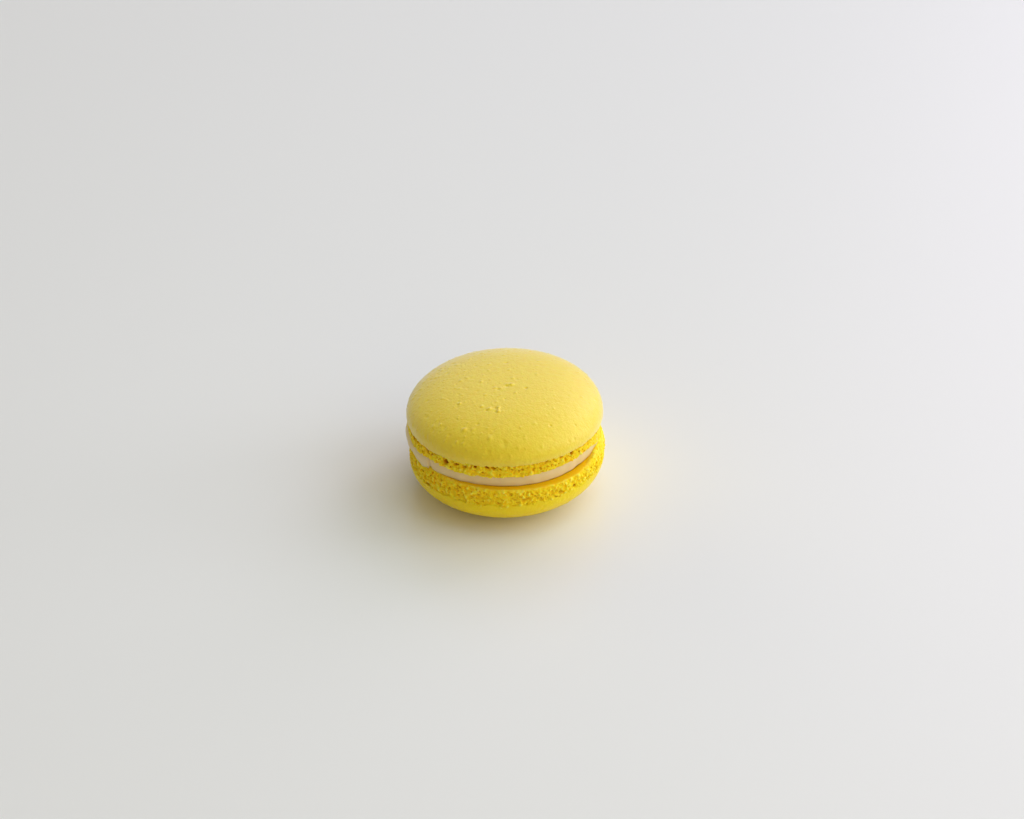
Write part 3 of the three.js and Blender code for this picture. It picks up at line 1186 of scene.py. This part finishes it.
@dataclass(frozen=True)
class AreaLight:
    """A soft, round box that points at the macaron. Its distance and size are in metres."""

    name: str
    azimuth: float
    elevation: float
    size: float
    power: float
    colour: str
    distance: float = 1.6

    def build(self, target: Vector) -> None:
        """Hangs the light.

        Args:
            target: The point that it faces, in metres.
        """
        data = bpy.data.lights.new(self.name, "AREA")
        data.shape, data.size, data.energy = "DISK", self.size, self.power
        data.color = linear(self.colour)[:3]
        light = bpy.data.objects.new(self.name, data)
        a, e = math.radians(self.azimuth), math.radians(self.elevation)
        away = Vector((math.sin(a) * math.cos(e), -math.cos(a) * math.cos(e), math.sin(e)))
        light.location = target + self.distance * away
        light.rotation_euler = away.to_track_quat("Z", "Y").to_euler()
        bpy.context.scene.collection.objects.link(light)


@dataclass(frozen=True)
class Studio:
    """The floor, the lights and the camera."""

    aim_mm: tuple[float, float, float] = (1.25, 0.0, 21.1)
    elevation: float = 34.1
    distance_mm: float = 626.6
    lens: float = 90.7
    floor_half_width: float = 3.0
    sky: float = 0.24
    sky_colour: str = "#f5f7ff"
    # Each light's name, azimuth, elevation, size, power and colour.
    lights: tuple[AreaLight, ...] = (
        AreaLight("window", 115, 38, 1.3, 7.8, "#ebf3ff"),
        AreaLight("window_front", 70, 35, 1.2, 6.6, "#ebf3ff"),
        AreaLight("window_back", 145, 30, 1.2, 6.2, "#f0e0ff"),
        AreaLight("low_back", 138, 10, 0.9, 2.0, "#f5ebff"),
        AreaLight("low_side", 95, 12, 0.7, 5.8, "#ebedff"),
        AreaLight("top", 90, 75, 1.2, 3.6, "#f7ffdf"),
        AreaLight("front_fill", 22, 28, 1.2, 4.8, "#ffe995"),
        AreaLight("back_top", 182, 48, 1.2, 2.7, "#ebf3ff"),
        AreaLight("back_left", 228, 18, 0.9, 2.4, "#fff095"),
    )

    def build(self) -> None:
        """Sets up everything round the macaron."""
        bpy.context.scene.view_settings.view_transform = "Standard"
        target = MM * Vector(self.aim_mm)
        for light in self.lights:
            light.build(target)
        self.light_sky()
        self.lay_floor()
        self.place_camera(target)

    def light_sky(self) -> None:
        """Gives an even, faint light from all round."""
        world = bpy.data.worlds.new("studio")
        world.use_nodes = True
        background = world.node_tree.nodes["Background"]
        background.inputs["Color"].default_value = linear(self.sky_colour)
        background.inputs["Strength"].default_value = self.sky
        bpy.context.scene.world = world

    def lay_floor(self) -> None:
        """Lays the floor under the macaron."""
        w = self.floor_half_width
        mesh = bpy.data.meshes.new("floor")
        mesh.from_pydata([(-w, -w, 0), (w, -w, 0), (w, w, 0), (-w, w, 0)], [], [(0, 1, 2, 3)])
        mesh.materials.append(PaleFloor().material())
        floor = bpy.data.objects.new("floor", mesh)
        bpy.context.scene.collection.objects.link(floor)

    def place_camera(self, target: Vector) -> None:
        """Places the camera.

        Args:
            target: The point that it looks at, in metres.
        """
        camera = bpy.data.objects.new("camera", bpy.data.cameras.new("camera"))
        camera.data.lens, camera.data.sensor_width = self.lens, 36.0
        camera.data.clip_start = 0.01
        e = math.radians(self.elevation)
        away = Vector((0, -math.cos(e), math.sin(e)))
        camera.location = target + self.distance_mm * MM * away
        camera.rotation_euler = away.to_track_quat("Z", "Y").to_euler()
        bpy.context.scene.collection.objects.link(camera)
        bpy.context.scene.camera = camera


# ---------------------------------------------------------------------------------------------------
# The macaron

# Bubbles that burst on the upper dome as it baked: each left a few crumbs, or a pit.
UPPER_BURSTS = (
    Pimple(-1.2, -10.1, 0.55, 0.26), Pimple(-1.2, -10.8, 0.5, 0.18), Pimple(-1.2, -11.5, 0.6, 0.28),
    Pimple(-2.0, -10.2, 0.45, -0.18), Pimple(-2.0, -11.5, 0.45, -0.18), Pimple(-3.4, -10.4, 0.7, 0.25),
    Pimple(-4.1, -10.9, 0.45, -0.18), Pimple(-5.2, -9.3, 0.65, 0.18), Pimple(0.8, -0.8, 0.8, 0.14),
    Pimple(1.9, -1.0, 0.9, 0.27), Pimple(0.7, -1.8, 0.7, -0.15), Pimple(-10.6, -7.4, 0.6, 0.16),
    Pimple(-9.4, -16.2, 0.85, 0.3), Pimple(-3.3, -19.5, 0.9, 0.18), Pimple(-11.2, -18.8, 0.45, 0.26),
    Pimple(-15.1, -13.0, 0.45, 0.22), Pimple(-13.6, -5.2, 0.4, 0.16), Pimple(-5.4, 0.7, 0.6, 0.16),
    Pimple(-10.5, 2.0, 0.7, 0.16), Pimple(1.5, -23.3, 0.5, 0.2), Pimple(0.0, -21.0, 1.2, -0.15),
    Pimple(0.6, 9.2, 0.7, -0.18), Pimple(-1.3, -2.9, 0.6, -0.2), Pimple(5.3, -2.6, 0.6, -0.22),
    Pimple(11.0, -15.2, 0.5, -0.22), Pimple(16.9, -13.1, 0.4, -0.18), Pimple(0.3, -6.9, 0.45, -0.18),
    Pimple(-6.2, -15.1, 0.5, -0.18),
)
# The big cavities in the front of each foot.
UPPER_CAVITIES = (
    Cavity(-61.0, 0.4, 0.4, 0.7, 0.8), Cavity(-57.3, 0.4, 0.4, 0.75, 0.8),
    Cavity(-51.6, 0.35, 0.35, 1.4, 0.8), Cavity(-36.7, 0.8, 0.8, 1.55, 1.3), Cavity(-29.8, 0.35, 0.5, 1.2),
    Cavity(-23.5, 0.6, 0.35, 1.3, 0.6), Cavity(-17.3, 0.45, 0.4, 0.9), Cavity(-9.9, 0.75, 0.45, 0.8),
    Cavity(-6.3, 0.7, 0.3, 0.8), Cavity(16.4, 0.9, 0.3, 0.8, 0.6), Cavity(25.5, 0.85, 0.5, 1.0, 0.9),
    Cavity(30.1, 0.35, 0.35, 0.9, 0.7), Cavity(35.5, 0.8, 0.4, 1.0, 0.7), Cavity(43.0, 0.45, 0.65, 1.1),
    Cavity(48.3, 0.8, 0.4, 0.9, 0.7), Cavity(58.3, 0.9, 0.6, 1.15, 0.9),
)
LOWER_CAVITIES = (
    Cavity(-32, 1.1, 0.9, 3.0, 0.5), Cavity(-14, 0.7, 0.7, 2.0, 0.6), Cavity(-19, 0.5, 0.5, 1.1, 0.6),
    Cavity(-7, 1.2, 0.45, 1.2, 0.5), Cavity(2, 0.8, 0.6, 3.3, 0.6), Cavity(10, 1.1, 0.7, 1.6, 0.6),
    Cavity(14, 0.7, 0.6, 4.0, 0.6), Cavity(18, 0.6, 0.5, 1.3, 0.6), Cavity(27, 0.5, 0.3, 3.4, 0.5),
    Cavity(32, 0.85, 0.7, 1.1, 0.6), Cavity(38, 0.4, 0.3, 3.5, 0.5), Cavity(43, 0.5, 0.45, 1.2, 0.8),
    Cavity(57, 0.5, 0.35, 2.0, 0.8),
)


@dataclass
class Macaron:
    """The whole macaron, laid out from a few driving sizes."""

    radius: float = 23.9
    lower_height: float = 13.8
    filling_height: float = 3.3
    upper_height: float = 11.95
    tilt: float = 1.7
    upper_offset: float = -0.4
    pores: tuple[Bubbles, ...] = (Bubbles(1.5, 0.1, 0.44), Bubbles(0.85, 0.2, 0.54))
    skin: BakedMeringue = BakedMeringue("baked_meringue_skin")
    # The underside's skin is a little brighter than the top's: painted light that lifts its shade.
    base_skin: BakedMeringue = BakedMeringue(
        "baked_meringue_base_skin", colour="#fcd90c", pale_colour="#fee11e", specular=0.25, sheen=0.0)
    crumb: BakedMeringue = BakedMeringue(
        "porous_meringue_crumb", colour="#fec700", pale_colour="#ffe52c", mottle_mm=1.0, mottle_spread=0.4,
        grain_mm=0.3, grain_height_mm=0.09, roughness=0.7, specular=0.12, sheen=0.0, scattered=0.55,
        porous=True)

    def lower_shell(self) -> Shell:
        """Lays out the lower shell.

        Returns:
            The shell, turned over, with its foot almost flush with its skin.
        """
        turned_over = Matrix.Translation((0, 0, self.lower_height)) @ Matrix.Rotation(math.pi, 4, "X")
        form = ShellForm(
            radius=self.radius, height=self.lower_height, foot_height=4.5, lie=Lie.DOME_DOWN,
            place=turned_over, crown_flat=0.25, lean=0.8, frill_limit=1.7,
        )
        foot = PorousFoot(
            form, self.pores, cavities=LOWER_CAVITIES, setback=-0.2, setback_slant=-0.1, ledge_radius=22.9,
            corner=1.2, top_overlap=1.0, open_depth=0.95, frill_tuck=0.45, seed=3,
        )
        return Shell("lower", form, DomeSkin(form, lip_waver=0.2, seed=11), foot, self.base_skin, self.crumb)

    def upper_shell(self) -> Shell:
        """Lays out the upper shell.

        Returns:
            The shell, a little askew, with its foot set back under its skin.
        """
        leaning = (Matrix.Translation((self.upper_offset, 0, self.lower_height + self.filling_height))
                   @ Matrix.Rotation(-math.radians(self.tilt), 4, "Y"))
        form = ShellForm(
            radius=self.radius, height=self.upper_height, foot_height=3.7, lie=Lie.DOME_UP, place=leaning,
            rises=(Swelling(5, 50, 0.3), Swelling(85, 55, -0.6)),
            frills=(Swelling(93, 35, 6.5), Swelling(-82, 34, 1.3)), frill_limit=2.5,
        )
        foot = PorousFoot(
            form, self.pores, cavities=UPPER_CAVITIES, setback=0.12, setback_slant=0.15, ledge_slant=0.3,
            corner=0.6, seed=8,
        )
        return Shell("upper", form, DomeSkin(form, pimples=UPPER_BURSTS), foot, self.skin, self.crumb)

    def build(self) -> list[Piece]:
        """Makes the lower shell, the filling and the upper shell.

        Returns:
            Their pieces, from the bottom up.
        """
        filling = Filling(bottom=self.lower_height, height=self.filling_height, tilt=self.tilt,
                          tilt_about=self.upper_offset)
        layers = (self.lower_shell(), filling, self.upper_shell())
        return [piece for layer in layers for piece in layer.build()]


def main() -> None:
    """Dresses the macaron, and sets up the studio."""
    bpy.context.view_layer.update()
    for piece in Macaron().build():
        log.info("%s: %d triangles", piece.name,
                 sum(len(polygon.vertices) - 2 for polygon in piece.data.polygons))
    Studio().build()


if __name__ == "__main__":
    main()
